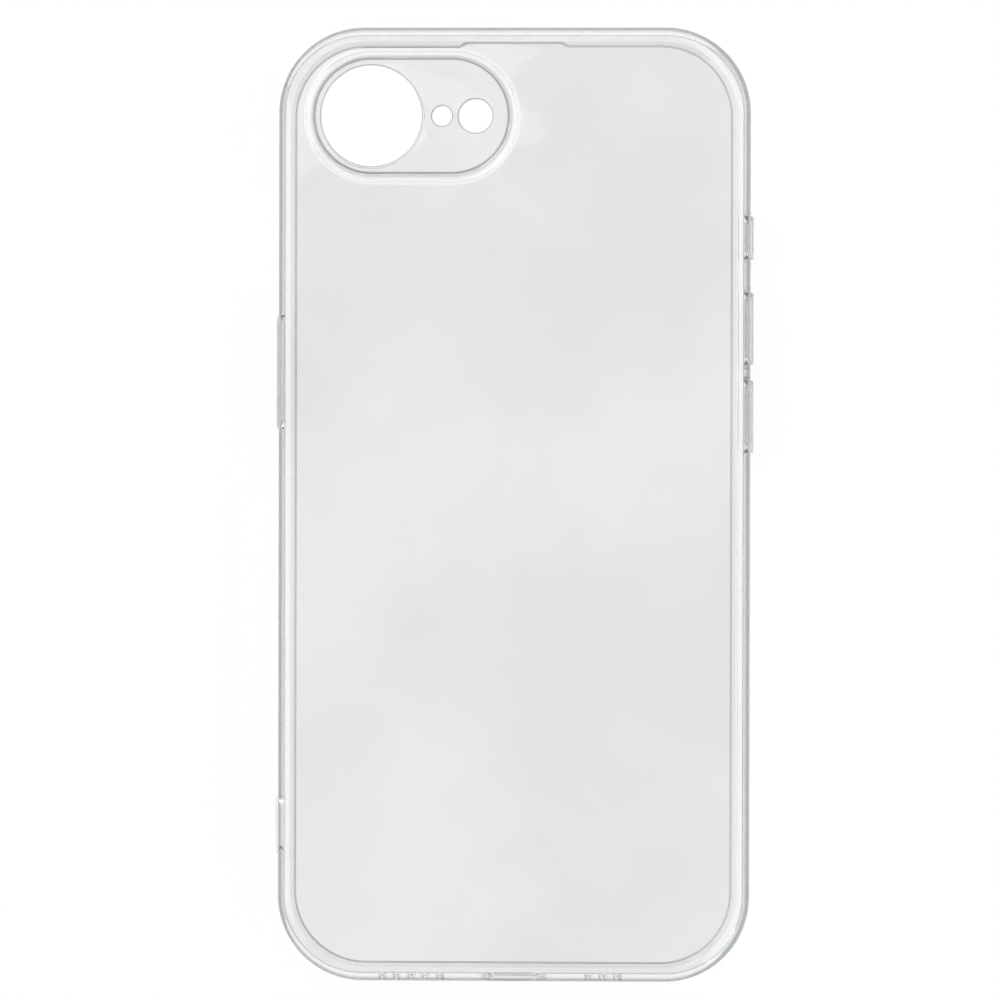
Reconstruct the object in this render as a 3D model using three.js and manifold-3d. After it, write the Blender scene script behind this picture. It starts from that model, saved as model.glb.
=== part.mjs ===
// A clear phone case: a hard back plate and a raised camera guard set into a soft frame,
// with four button covers that travel inwards on thin flexing webs.
//
// The case lies face down. Z = 0 is the plane of the front lip, which it rests on, +Z points out
// of the back, +Y points to the top edge and +X to the volume buttons. The origin is the middle
// of the outline. Every size is in millimetres.

import * as THREE from 'three';
import { mergeVertices } from 'three/addons/utils/BufferGeometryUtils.js';
import Module from 'manifold-3d';

const wasm = await Module();
wasm.setup();

// ---- Driving dimensions -------------------------------------------------------------------

// The phone that the case holds
const PHONE_WIDTH = 71.5;
const PHONE_LENGTH = 146.7;
const PHONE_THICKNESS = 7.8;
const PHONE_CORNER = 11.9;
const PHONE_FIT = 0.1;

// The soft frame
const SIDE_WALL = 1.25;
const END_WALL = 1.5;
const LIP_HEIGHT = 1.0;
const LIP_OVERHANG = 1.1;
const BACK_EDGE_RADIUS = 2.6;
const FRONT_EDGE_RADIUS = 1.2;

// The hard back plate, and the tongue round it that the frame covers
const BACK_THICKNESS = 1.4;
const PLATE_SIDE_INSET = 2.95;
const PLATE_END_INSET = 3.15;
const PLATE_CORNER = 11.1;
const TONGUE_REACH = 0.9;
const TONGUE_THICKNESS = 0.65;
const TAB_LENGTH = 14.8;
const TAB_DEPTH = 0.55;
const TAB_SLOPE = 1.0;

// The seam between two mouldings
const SEAM = 0.15;

// The raised guard round the camera. Its edges are placed from the phone's left and top edges,
// its lens hole is concentric with its left end, and the other holes are counted from its right.
const GUARD_LENGTH = 30.9;
const GUARD_WIDTH = 18.3;
const GUARD_RISE = 1.5;
const GUARD_EDGE = 0.4;
const GUARD_FROM_SIDE = 4.3;
const GUARD_FROM_TOP = 3.3;
const GUARD_FLANGE_REACH = 0.8;
const GUARD_FLANGE_THICKNESS = 0.65;
const COLLAR_REACH = 1.4;
const COLLAR_RISE = 0.55;
const COLLAR_LAND = 0.25;
const LENS_DIAMETER = 15.85;
const LENS_RELIEF = 0.3;
const FLASH_FROM_END = 5.42;
const FLASH_DIAMETER = 5.35;
const MIC_FROM_FLASH = 5.26;
const MIC_DIAMETER = 3.2;

// The button covers along each wall. The first gap on a wall is counted from the phone's top
// edge, and each one after it from the end of the cover before.
const ACTION_LENGTH = 6.9;
const VOLUME_LENGTH = 11.5;
const SIDE_LENGTH = 18.0;
const ACTION_FROM_TOP = 27.9;
const VOLUME_UP_GAP = 5.1;
const VOLUME_DOWN_GAP = 2.3;
const SIDE_FROM_TOP = 43.55;
const COVER_HEIGHT = 3.4;
const COVER_PROUD = 0.5;
const COVER_SINK = 0.75;
const COVER_EDGE = 0.35;
const PUSHER_INSET = 1.4;
const PUSHER_HEIGHT = 1.6;
const PUSHER_REACH = 0.2;
const MOAT = 0.7;
const WEB_GAP = 0.12;
const WEB_SINK = 1.05;
const WEB_HEIGHT = 0.75;

// The low strap boss on the left wall, placed from the phone's bottom edge
const BOSS_LENGTH = 9.4;
const BOSS_HEIGHT = 3.6;
const BOSS_PROUD = 0.45;
const BOSS_EDGE = 0.3;
const BOSS_ROOT = 0.6;
const BOSS_FROM_BOTTOM = 22.75;

// The openings in the bottom wall
const PORT_WIDTH = 9.4;
const PORT_HEIGHT = 5.2;
const PORT_MOUTH_MARGIN = 0.55;
const PORT_MOUTH_DEPTH = 0.85;
const SOUND_HOLE_DIAMETER = 1.4;
const SOUND_HOLE_PITCH = 2.26;
const SPEAKER_HOLES = 5;
const SPEAKER_MIDDLE = -16.1;
const MIC_HOLES = 3;
const MIC_MIDDLE = 14.1;

// How finely the round shapes are faceted
const CORNER_SEGMENTS = 10;
const PILL_SEGMENTS = 8;
const HOLE_SEGMENTS = 12;
const LENS_SEGMENTS = 32;
const EDGE_SEGMENTS = 4;

// How far a cutting tool runs past the face that it cuts
const OVERRUN = 1.0;

// ---- Derived sizes ------------------------------------------------------------------------

const POCKET_WIDTH = PHONE_WIDTH + 2 * PHONE_FIT;
const POCKET_LENGTH = PHONE_LENGTH + 2 * PHONE_FIT;
const POCKET_CORNER = PHONE_CORNER + PHONE_FIT;
const POCKET_DEPTH = PHONE_THICKNESS + PHONE_FIT;
const OUTER_WIDTH = POCKET_WIDTH + 2 * SIDE_WALL;
const OUTER_LENGTH = POCKET_LENGTH + 2 * END_WALL;
const OUTER_CORNER = POCKET_CORNER + (SIDE_WALL + END_WALL) / 2;
const PLATE_WIDTH = OUTER_WIDTH - 2 * PLATE_SIDE_INSET;
const PLATE_LENGTH = OUTER_LENGTH - 2 * PLATE_END_INSET;

const INNER_FACE_Z = LIP_HEIGHT + POCKET_DEPTH;
const BACK_Z = INNER_FACE_Z + BACK_THICKNESS;
const MIDDLE_Z = LIP_HEIGHT + POCKET_DEPTH / 2;
const GUARD_X = GUARD_FROM_SIDE + GUARD_LENGTH / 2 - PHONE_WIDTH / 2;
const GUARD_Y = PHONE_LENGTH / 2 - GUARD_FROM_TOP - GUARD_WIDTH / 2;

// Each wall's outward direction, the direction that stations along it are counted in, and how
// far its outer face is from the middle of the case.
const WALLS = {
  right: { out: new THREE.Vector3(1, 0, 0), line: new THREE.Vector3(0, 1, 0), reach: OUTER_WIDTH / 2 },
  left: { out: new THREE.Vector3(-1, 0, 0), line: new THREE.Vector3(0, 1, 0), reach: OUTER_WIDTH / 2 },
  bottom: { out: new THREE.Vector3(0, -1, 0), line: new THREE.Vector3(1, 0, 0), reach: OUTER_LENGTH / 2 },
};
const UP = new THREE.Vector3(0, 0, 1);

/** Covers in their order down one wall, each with the Y of its middle. */
function coversDown(side, covers) {
  let top = PHONE_LENGTH / 2;
  return covers.map(({ name, length, gap }) => {
    const station = top - gap - length / 2;
    top = station - length / 2;
    return { name, side, length, station };
  });
}

const BUTTONS = [
  ...coversDown('right', [
    { name: 'action_button', length: ACTION_LENGTH, gap: ACTION_FROM_TOP },
    { name: 'volume_up', length: VOLUME_LENGTH, gap: VOLUME_UP_GAP },
    { name: 'volume_down', length: VOLUME_LENGTH, gap: VOLUME_DOWN_GAP },
  ]),
  ...coversDown('left', [{ name: 'side_button', length: SIDE_LENGTH, gap: SIDE_FROM_TOP }]),
];

// ---- Materials ----------------------------------------------------------------------------

const softClear = new THREE.MeshStandardMaterial({ color: 0xe4e5e3, roughness: 0.18, metalness: 0 });
const hardClear = new THREE.MeshStandardMaterial({ color: 0xececec, roughness: 0.08, metalness: 0 });
const coverClear = new THREE.MeshStandardMaterial({ color: 0xdcdddb, roughness: 0.15, metalness: 0 });

// ---- Outlines -----------------------------------------------------------------------------

/** A rectangle with round corners, centred on the origin. */
function roundedRectangle(width, length, radius) {
  const x = width / 2 - radius;
  const y = length / 2 - radius;
  const shape = new THREE.Shape();
  shape.absarc(x, -y, radius, -Math.PI / 2, 0);
  shape.absarc(x, y, radius, 0, Math.PI / 2);
  shape.absarc(-x, y, radius, Math.PI / 2, Math.PI);
  shape.absarc(-x, -y, radius, Math.PI, Math.PI * 1.5);
  shape.closePath();
  return shape;
}

/** A slot with half-round ends, long along X, centred on the origin. */
function stadium(length, width) {
  const radius = width / 2;
  const x = length / 2 - radius;
  const shape = new THREE.Shape();
  shape.absarc(x, 0, radius, -Math.PI / 2, Math.PI / 2);
  shape.absarc(-x, 0, radius, Math.PI / 2, Math.PI * 1.5);
  shape.closePath();
  return shape;
}

/** The back plate's outline with its low tab on the top edge, grown by a margin all round. */
function plateOutline(margin) {
  const radius = PLATE_CORNER + margin;
  const top = PLATE_LENGTH / 2 + margin;
  const x = PLATE_WIDTH / 2 + margin - radius;
  const y = top - radius;
  const tab = TAB_LENGTH / 2 + margin;
  const shape = new THREE.Shape();
  shape.absarc(x, -y, radius, -Math.PI / 2, 0);
  shape.absarc(x, y, radius, 0, Math.PI / 2);
  shape.lineTo(tab + TAB_SLOPE, top);
  shape.lineTo(tab, top + TAB_DEPTH);
  shape.lineTo(-tab, top + TAB_DEPTH);
  shape.lineTo(-tab - TAB_SLOPE, top);
  shape.absarc(-x, y, radius, Math.PI / 2, Math.PI);
  shape.absarc(-x, -y, radius, Math.PI, Math.PI * 1.5);
  shape.closePath();
  return shape;
}

// ---- Solids -------------------------------------------------------------------------------

/** A closed three.js geometry as a solid that can be joined and cut. */
function solidOf(geometry) {
  geometry.deleteAttribute('normal');
  geometry.deleteAttribute('uv');
  const merged = mergeVertices(geometry, 1e-5);
  const vertProperties = new Float32Array(merged.attributes.position.array);
  const triVerts = new Uint32Array(merged.index.array);
  return new wasm.Manifold(new wasm.Mesh({ numProp: 3, vertProperties, triVerts }));
}

/** A solid as a geometry with flat faces. */
function geometryOf(solid) {
  const mesh = solid.getMesh();
  const geometry = new THREE.BufferGeometry();
  geometry.setAttribute('position', new THREE.BufferAttribute(new Float32Array(mesh.vertProperties), 3));
  geometry.setIndex(new THREE.BufferAttribute(new Uint32Array(mesh.triVerts), 1));
  const flat = geometry.toNonIndexed();
  flat.computeVertexNormals();
  return flat;
}

/** An outline carried straight from one height to another, as a geometry. */
function prism(shape, low, high, curveSegments = CORNER_SEGMENTS) {
  const straight = { depth: high - low, bevelEnabled: false, curveSegments };
  return new THREE.ExtrudeGeometry(shape, straight).translate(0, 0, low);
}

/** A prism whose outline grows from each end by the edge's reach, over the edge's rise. */
function roundedPrism(shape, low, high, edge, curveSegments = CORNER_SEGMENTS) {
  const geometry = new THREE.ExtrudeGeometry(shape, {
    depth: high - low - 2 * edge.rise,
    bevelEnabled: true,
    bevelSize: edge.reach,
    bevelThickness: edge.rise,
    bevelSegments: edge.segments,
    curveSegments,
  });
  return geometry.translate(0, 0, low + edge.rise);
}

/** A rounded slot-shaped block with its edges rounded off, between two heights. */
function roundedStadium(length, width, low, high, radius) {
  const edge = { reach: radius, rise: radius, segments: 3 };
  return roundedPrism(stadium(length - 2 * radius, width - 2 * radius), low, high, edge, PILL_SEGMENTS);
}

/** A round tool along Z between two heights. */
function rod(diameter, low, high, segments) {
  const geometry = new THREE.CylinderGeometry(diameter / 2, diameter / 2, high - low, segments);
  return geometry.rotateX(Math.PI / 2).translate(0, 0, (low + high) / 2);
}

/**
 * The matrix that stands a shape on a wall: its X runs along the wall, its Y up, and its Z out
 * of the wall, counted from the wall's outer face at a station and half the pocket's height.
 */
function onWall(wall, station) {
  const along = new THREE.Vector3().crossVectors(UP, wall.out);
  const place = wall.out.clone().multiplyScalar(wall.reach);
  place.addScaledVector(wall.line, station);
  place.addScaledVector(UP, MIDDLE_Z);
  return new THREE.Matrix4().makeBasis(along, UP, wall.out).setPosition(place);
}

// ---- The soft frame -----------------------------------------------------------------------

/** The outer block of the case with its own edge radius at the back and at the front. */
function outerBlock() {
  const edged = (radius, low, high) => {
    const width = OUTER_WIDTH - 2 * radius;
    const inner = roundedRectangle(width, OUTER_LENGTH - 2 * radius, OUTER_CORNER - radius);
    const edge = { reach: radius, rise: radius, segments: EDGE_SEGMENTS };
    return solidOf(roundedPrism(inner, low, high, edge));
  };
  const backEdged = edged(BACK_EDGE_RADIUS, -BACK_EDGE_RADIUS - OVERRUN, BACK_Z);
  const frontEdged = edged(FRONT_EDGE_RADIUS, 0, BACK_Z + FRONT_EDGE_RADIUS + OVERRUN);
  return backEdged.intersect(frontEdged);
}

/** Everything that the phone and the back plate take out of the outer block. */
function insideCuts() {
  const lipWidth = POCKET_WIDTH - 2 * LIP_OVERHANG;
  const lipLength = POCKET_LENGTH - 2 * LIP_OVERHANG;
  const tongue = TONGUE_REACH + SEAM;
  return [
    prism(roundedRectangle(lipWidth, lipLength, POCKET_CORNER - LIP_OVERHANG), -OVERRUN, MIDDLE_Z),
    prism(roundedRectangle(POCKET_WIDTH, POCKET_LENGTH, POCKET_CORNER), LIP_HEIGHT, INNER_FACE_Z),
    prism(
      roundedRectangle(PLATE_WIDTH + 2 * tongue, PLATE_LENGTH + 2 * tongue, PLATE_CORNER + tongue),
      MIDDLE_Z,
      INNER_FACE_Z + TONGUE_THICKNESS + SEAM,
    ),
    prism(plateOutline(SEAM), MIDDLE_Z, BACK_Z + OVERRUN),
  ];
}

/** The windows that the button covers and their webs sit in. */
function buttonWindows() {
  return BUTTONS.map((button) => {
    const outline = stadium(button.length + 2 * MOAT, COVER_HEIGHT + 2 * MOAT);
    const tool = prism(outline, -SIDE_WALL - OVERRUN, OVERRUN, PILL_SEGMENTS);
    return tool.applyMatrix4(onWall(WALLS[button.side], button.station));
  });
}

/** The charging port through the bottom wall, with its wider mouth on the outside. */
function portCuts() {
  const stand = onWall(WALLS.bottom, 0);
  const slot = prism(stadium(PORT_WIDTH, PORT_HEIGHT), -END_WALL - OVERRUN, OVERRUN, PILL_SEGMENTS);
  const margin = 2 * PORT_MOUTH_MARGIN;
  const wider = stadium(PORT_WIDTH + margin, PORT_HEIGHT + margin);
  const mouth = prism(wider, -PORT_MOUTH_DEPTH, OVERRUN, PILL_SEGMENTS);
  return [slot.applyMatrix4(stand), mouth.applyMatrix4(stand)];
}

/** A row of round sound holes through the bottom wall, centred on a station. */
function soundHoles(count, middle) {
  return Array.from({ length: count }, (_, index) => {
    const station = middle + (index - (count - 1) / 2) * SOUND_HOLE_PITCH;
    const tool = rod(SOUND_HOLE_DIAMETER, -END_WALL - OVERRUN, OVERRUN, HOLE_SEGMENTS);
    return tool.applyMatrix4(onWall(WALLS.bottom, station));
  });
}

function buildFrame() {
  const bossStation = BOSS_FROM_BOTTOM - PHONE_LENGTH / 2;
  const boss = roundedStadium(BOSS_LENGTH, BOSS_HEIGHT, -BOSS_ROOT, BOSS_PROUD, BOSS_EDGE);
  let frame = outerBlock().add(solidOf(boss.applyMatrix4(onWall(WALLS.left, bossStation))));
  const cuts = [
    ...insideCuts(),
    ...buttonWindows(),
    ...portCuts(),
    ...soundHoles(SPEAKER_HOLES, SPEAKER_MIDDLE),
    ...soundHoles(MIC_HOLES, MIC_MIDDLE),
  ];
  for (const cut of cuts) frame = frame.subtract(solidOf(cut));
  return geometryOf(frame);
}

// ---- The hard back plate ------------------------------------------------------------------

function buildPlate() {
  const plate = prism(plateOutline(0), INNER_FACE_Z, BACK_Z);
  const tongue = prism(
    roundedRectangle(
      PLATE_WIDTH + 2 * TONGUE_REACH,
      PLATE_LENGTH + 2 * TONGUE_REACH,
      PLATE_CORNER + TONGUE_REACH,
    ),
    INNER_FACE_Z,
    INNER_FACE_Z + TONGUE_THICKNESS,
  );
  const slope = { reach: COLLAR_REACH - COLLAR_LAND, rise: COLLAR_RISE, segments: 3 };
  const land = stadium(GUARD_LENGTH + 2 * (SEAM + COLLAR_LAND), GUARD_WIDTH + 2 * (SEAM + COLLAR_LAND));
  const collar = roundedPrism(land, INNER_FACE_Z + COLLAR_RISE, BACK_Z + COLLAR_RISE, slope, PILL_SEGMENTS);
  collar.translate(GUARD_X, GUARD_Y, 0);
  const hole = prism(
    stadium(GUARD_LENGTH + 2 * SEAM, GUARD_WIDTH + 2 * SEAM),
    LIP_HEIGHT,
    BACK_Z + COLLAR_RISE + OVERRUN,
    PILL_SEGMENTS,
  );
  hole.translate(GUARD_X, GUARD_Y, 0);
  const reach = GUARD_FLANGE_REACH + SEAM;
  const rebate = prism(
    stadium(GUARD_LENGTH + 2 * reach, GUARD_WIDTH + 2 * reach),
    LIP_HEIGHT,
    INNER_FACE_Z + GUARD_FLANGE_THICKNESS + SEAM,
    PILL_SEGMENTS,
  );
  rebate.translate(GUARD_X, GUARD_Y, 0);
  const body = solidOf(plate).add(solidOf(tongue)).add(solidOf(collar));
  return geometryOf(body.subtract(solidOf(hole)).subtract(solidOf(rebate)));
}

// ---- The camera guard ---------------------------------------------------------------------

/** The guard in its own frame: the middle of the pill is the origin, and Z is the case's Z. */
function buildGuard() {
  const top = BACK_Z + GUARD_RISE;
  const pill = roundedStadium(GUARD_LENGTH, GUARD_WIDTH, INNER_FACE_Z, top, GUARD_EDGE);
  const flange = prism(
    stadium(GUARD_LENGTH + 2 * GUARD_FLANGE_REACH, GUARD_WIDTH + 2 * GUARD_FLANGE_REACH),
    INNER_FACE_Z,
    INNER_FACE_Z + GUARD_FLANGE_THICKNESS,
    PILL_SEGMENTS,
  );
  const lens = (GUARD_WIDTH - GUARD_LENGTH) / 2;
  const flash = GUARD_LENGTH / 2 - FLASH_FROM_END;
  const bottom = LIP_HEIGHT;
  const cuts = [
    rod(LENS_DIAMETER, bottom, top + OVERRUN, LENS_SEGMENTS).translate(lens, 0, 0),
    rod(LENS_DIAMETER + 2 * LENS_RELIEF, bottom, BACK_Z, LENS_SEGMENTS).translate(lens, 0, 0),
    rod(MIC_DIAMETER, bottom, top + OVERRUN, HOLE_SEGMENTS).translate(flash - MIC_FROM_FLASH, 0, 0),
    rod(FLASH_DIAMETER, bottom, top + OVERRUN, HOLE_SEGMENTS).translate(flash, 0, 0),
  ];
  let guard = solidOf(pill).add(solidOf(flange));
  for (const cut of cuts) guard = guard.subtract(solidOf(cut));
  return geometryOf(guard);
}

// ---- The button covers and their webs -----------------------------------------------------

/** A cover on its wall: X along the wall, Y up, Z outwards from the wall's outer face. */
function buildCover(button) {
  const pad = roundedStadium(button.length, COVER_HEIGHT, -COVER_SINK, COVER_PROUD, COVER_EDGE);
  const pusher = prism(
    stadium(button.length - 2 * PUSHER_INSET, PUSHER_HEIGHT),
    -COVER_SINK - PUSHER_REACH,
    0,
    PILL_SEGMENTS,
  );
  return geometryOf(solidOf(pad).add(solidOf(pusher)));
}

/** The ring between a cover and its window: the space that the sloping web bends in. */
function buildWeb(button) {
  const outline = stadium(
    button.length + 2 * (MOAT - WEB_GAP),
    COVER_HEIGHT + 2 * (MOAT - WEB_GAP),
  );
  outline.holes.push(stadium(button.length + 2 * WEB_GAP, COVER_HEIGHT + 2 * WEB_GAP));
  return prism(outline, -WEB_SINK, -WEB_SINK + WEB_HEIGHT, PILL_SEGMENTS);
}

// ---- Assembly -----------------------------------------------------------------------------

function named(name, geometry, material) {
  const mesh = new THREE.Mesh(geometry, material);
  mesh.name = name;
  return mesh;
}

const phoneCase = new THREE.Group();
phoneCase.add(named('bumper_frame', buildFrame(), softClear));
phoneCase.add(named('back_plate', buildPlate(), hardClear));

const guard = named('camera_guard', buildGuard(), softClear);
guard.position.set(GUARD_X, GUARD_Y, 0);
phoneCase.add(guard);

for (const button of BUTTONS) {
  const station = new THREE.Group();
  station.add(named(`${button.name}_cover`, buildCover(button), coverClear));
  station.add(named(`${button.name}_web`, buildWeb(button), softClear));
  onWall(WALLS[button.side], button.station).decompose(station.position, station.quaternion, station.scale);
  phoneCase.add(station);
}

export default phoneCase;
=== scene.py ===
import logging
import math
from dataclasses import dataclass, field, replace
from enum import Enum
from functools import cache

import bpy
import numpy as np
from mathutils import Matrix, Vector


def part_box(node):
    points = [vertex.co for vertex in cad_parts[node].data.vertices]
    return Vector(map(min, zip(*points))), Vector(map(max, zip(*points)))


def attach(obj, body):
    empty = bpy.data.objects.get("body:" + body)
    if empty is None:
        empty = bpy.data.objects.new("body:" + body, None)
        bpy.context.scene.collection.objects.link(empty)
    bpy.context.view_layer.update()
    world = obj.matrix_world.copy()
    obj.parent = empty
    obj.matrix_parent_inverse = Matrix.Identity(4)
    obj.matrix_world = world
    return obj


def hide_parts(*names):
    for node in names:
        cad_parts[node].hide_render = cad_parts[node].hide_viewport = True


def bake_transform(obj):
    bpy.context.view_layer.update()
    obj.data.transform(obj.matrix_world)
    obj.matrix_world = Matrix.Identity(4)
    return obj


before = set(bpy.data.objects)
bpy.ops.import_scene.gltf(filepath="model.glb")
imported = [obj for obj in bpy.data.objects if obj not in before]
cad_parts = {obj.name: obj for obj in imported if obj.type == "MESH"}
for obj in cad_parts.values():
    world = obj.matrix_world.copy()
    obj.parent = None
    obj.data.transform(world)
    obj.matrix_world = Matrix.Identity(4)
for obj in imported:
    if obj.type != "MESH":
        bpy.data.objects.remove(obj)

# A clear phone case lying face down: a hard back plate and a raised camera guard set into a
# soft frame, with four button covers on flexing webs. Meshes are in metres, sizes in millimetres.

log = logging.getLogger("phone_case")

MM = 0.001
# These set where painted shade darkens the moulded edges, standing in for the dark lines that refraction
# shows there, and which level faces inside a joint lose their tint.
MOST_STEP = math.radians(50.0)
TIGHT = (1.0, 2.2)
SHOULDER = (0.64, 0.84)
SHOULDER_DEPTH = 2.3
LEAST_CURVATURE = 0.2
UPRIGHT = 0.95
LEVEL = 0.9
# Painted shade on upright walls below the shoulder.
WALL_PAINTED_SHADE = 0.25
MATING = (9.45, 9.75)
MOST_TURNS = 2.5
CLOUD_RANGE = (0.34, 0.66)
THREAD_RANGE = (0.66, 0.74)
THREADS = ((0.5, (40.0, 900.0, 300.0)), (-0.9, (700.0, 55.0, 300.0)))
RIPPLE_SIZE = 90.0
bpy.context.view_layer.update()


class Wall(Enum):
    """A side of the case, as the direction that points out of it."""

    RIGHT = (1.0, 0.0, 0.0)
    LEFT = (-1.0, 0.0, 0.0)
    BOTTOM = (0.0, -1.0, 0.0)


class Edge(Enum):
    """A quarter turn of a section, as its first and last angle in degrees."""

    BOTTOM_OUT = (-90.0, 0.0)
    OUT_TOP = (0.0, 90.0)
    TOP_IN = (90.0, 180.0)
    IN_BOTTOM = (180.0, 270.0)
    HOLLOW_BOTTOM_IN = (270.0, 180.0)
    HOLLOW_IN_TOP = (180.0, 90.0)
    HOLLOW_TOP_OUT = (90.0, 0.0)
    HOLLOW_OUT_BOTTOM = (0.0, -90.0)


# ---- Outlines and sections ----


@dataclass(frozen=True)
class RoundedRectangle:
    """A rectangle with round corners, with a low tab on its top edge where it has one.

    Each corner is a quarter circle. The tab lifts the top edge by its depth, with an S-shaped
    step (three t squared less two t cubed) at each end.
    """

    half_width: float
    half_length: float
    radius: float
    tab_half: float = 0.0
    tab_depth: float = 0.0
    tab_slope: float = 1.0
    corner_steps: int = 26
    end_steps: int = 110
    side_steps: int = 60

    def points(self, growth: float) -> np.ndarray:
        """The outline, grown by a margin, anticlockwise from the lower right.

        Args:
            growth: how far the outline moves outwards, in millimetres.

        Returns:
            The points as an array of x and y.
        """
        radius = self.radius + growth
        x = self.half_width + growth - radius
        y = self.half_length + growth - radius
        centres = np.array([(x, y), (-x, y), (-x, -y), (x, -y)])
        turn = np.linspace(0.0, math.pi / 2, self.corner_steps, endpoint=False)
        corners = [
            centre + radius * np.stack([np.cos(turn + k * math.pi / 2), np.sin(turn + k * math.pi / 2)], 1)
            for k, centre in enumerate(centres)
        ]
        starts = np.array([(x + radius, -y), (x, y + radius), (-x - radius, y), (-x, -y - radius)])
        ends = np.array([(x + radius, y), (-x, y + radius), (-x - radius, -y), (x, -y - radius)])
        steps = (self.side_steps, self.end_steps, self.side_steps, self.end_steps)
        sides = [
            start + (end - start) * np.linspace(0.0, 1.0, count, endpoint=False)[:, None]
            for start, end, count in zip(starts, ends, steps)
        ]
        outline = np.concatenate([part for pair in zip(sides, corners) for part in pair])
        if self.tab_depth:
            across = (self.tab_half + growth + self.tab_slope - np.abs(outline[:, 0])) / self.tab_slope
            t = np.clip(across, 0.0, 1.0)
            outline[:, 1] += np.where(outline[:, 1] > y, self.tab_depth * t * t * (3 - 2 * t), 0.0)
        return outline


@dataclass(frozen=True)
class Stadium:
    """A slot shape with half-round ends, long along X. A circle is one with no straight side."""

    length: float
    width: float
    centre: tuple[float, float] = (0.0, 0.0)
    end_steps: int = 28
    side_steps: int = 12

    def points(self, growth: float) -> np.ndarray:
        """The outline, grown by a margin, anticlockwise from its lower right.

        Args:
            growth: how far the outline moves outwards, in millimetres.

        Returns:
            The points as an array of x and y.
        """
        radius = self.width / 2 + growth
        x = (self.length - self.width) / 2
        turn = np.linspace(-math.pi / 2, math.pi / 2, self.end_steps, endpoint=False)
        arc = radius * np.stack([np.cos(turn), np.sin(turn)], 1)
        run = np.linspace(x, -x, self.side_steps, endpoint=False)
        side = np.stack([run, np.full(self.side_steps, radius)], 1)
        outline = np.concatenate([arc + (x, 0.0), side, -arc - (x, 0.0), -side])
        return outline + np.array(self.centre)


@dataclass(frozen=True)
class Polar:
    """An outline seen from a point inside it, sampled along given rays.

    The outline's angle round the point rises all the way round, so x and y are read from it as
    functions of the angle. Two outlines sampled along the same rays match point for point.
    """

    outline: RoundedRectangle | Stadium
    centre: tuple[float, float]
    rays: np.ndarray = field(repr=False)

    def points(self, growth: float) -> np.ndarray:
        """The outline, grown by a margin, where each ray meets it.

        Args:
            growth: how far the outline moves outwards, in millimetres.

        Returns:
            The points as an array of x and y.
        """
        found = self.outline.points(growth)
        angle = ray_angles(found, self.centre)
        order = np.argsort(angle)
        return np.stack(
            [
                np.interp(self.rays, angle[order], found[order, axis], period=2 * math.pi)
                for axis in (0, 1)
            ],
            1,
        )


Outline = RoundedRectangle | Stadium | Polar
Station = tuple[Outline, float, float]


def ray_angles(points: np.ndarray, centre: tuple[float, float]) -> np.ndarray:
    """The angle from a centre to each point, from zero to a full turn."""
    offset = points - np.array(centre)
    return np.arctan2(offset[:, 1], offset[:, 0]) % (2 * math.pi)


def quarter(
    outline: Outline, growth: float, z: float, radius: float, edge: Edge, steps: int = 5
) -> list[Station]:
    """A rounded edge of a section: a quarter circle about a point that is a growth out and z up.

    Args:
        outline: the outline that growths are counted from.
        growth: the circle's centre, as a growth of the outline.
        z: the circle's centre, as a height.
        radius: the circle's radius.
        edge: which quarter of the circle is followed.
        steps: how many steps the quarter takes.

    Returns:
        The stations along the quarter, both ends included.
    """
    first, last = edge.value
    angles = np.radians(np.linspace(first, last, steps + 1))
    return [(outline, growth + radius * math.cos(a), z + radius * math.sin(a)) for a in angles]


def station_rings(stations: list[Station]) -> np.ndarray:
    """The surface as rings: ring k is station k's outline, grown and lifted to its height.

    Args:
        stations: the section, as outlines with their growths and heights in millimetres.

    Returns:
        The points in millimetres, as rings by points by three.
    """
    rings = [
        np.concatenate([flat, np.full((len(flat), 1), z)], 1)
        for outline, growth, z in stations
        for flat in [outline.points(growth)]
    ]
    return np.array(rings)


# ---- Meshes ----


def wall_matrix(wall: Wall, station: float, middle: float, reach: float) -> Matrix:
    """The place of a shape on a wall: X along the wall, Y up, Z outwards from its outer face.

    Args:
        wall: the wall that the shape stands on.
        station: how far along the wall the shape's middle is.
        middle: the height of the shape's middle.
        reach: how far the wall's outer face is from the middle of the case.

    Returns:
        The matrix that takes the shape from its own frame to the case's.
    """
    out = Vector(wall.value)
    up = Vector((0.0, 0.0, 1.0))
    along = up.cross(out)
    line = Vector((abs(along.x), abs(along.y), 0.0))
    place = out * reach + line * station + up * middle
    columns = Matrix((along, up, out)).transposed().to_4x4()
    return Matrix.Translation(place) @ columns


def surface_mesh(name: str, rings: np.ndarray, closed: bool, place: Matrix | None = None) -> bpy.types.Mesh:
    """A closed mesh on a grid of rings by points, in metres.

    Each quad joins two neighbours on one ring to the same two on the next. A closed section joins
    its last ring to its first, and an open one has a flat cap on its first and last ring.

    Args:
        name: the mesh's name.
        rings: the surface's points in millimetres, as rings by points by three.
        closed: whether the last ring joins the first.
        place: where the surface's own frame is in the case's, in millimetres.

    Returns:
        The mesh, with its faces pointing outwards.
    """
    count, around = rings.shape[:2]
    points = rings.reshape(-1, 3)
    if place is not None:
        matrix = np.array(place)
        points = points @ matrix[:3, :3].T + matrix[:3, 3]
    rows = np.arange(count if closed else count - 1)
    u = np.arange(around)
    a = rows[:, None] * around + u
    b = rows[:, None] * around + (u + 1) % around
    step = ((rows[:, None] + 1) % count) * around
    c = step + (u + 1) % around
    d = step + u
    faces = np.stack([a, b, c, d], -1).reshape(-1, 4).tolist()
    if not closed:
        faces.append(u[::-1].tolist())
        faces.append((u + (count - 1) * around).tolist())
    mesh = bpy.data.meshes.new(name)
    mesh.from_pydata((points * MM).tolist(), [], faces)
    mesh.update()
    return mesh


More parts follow.
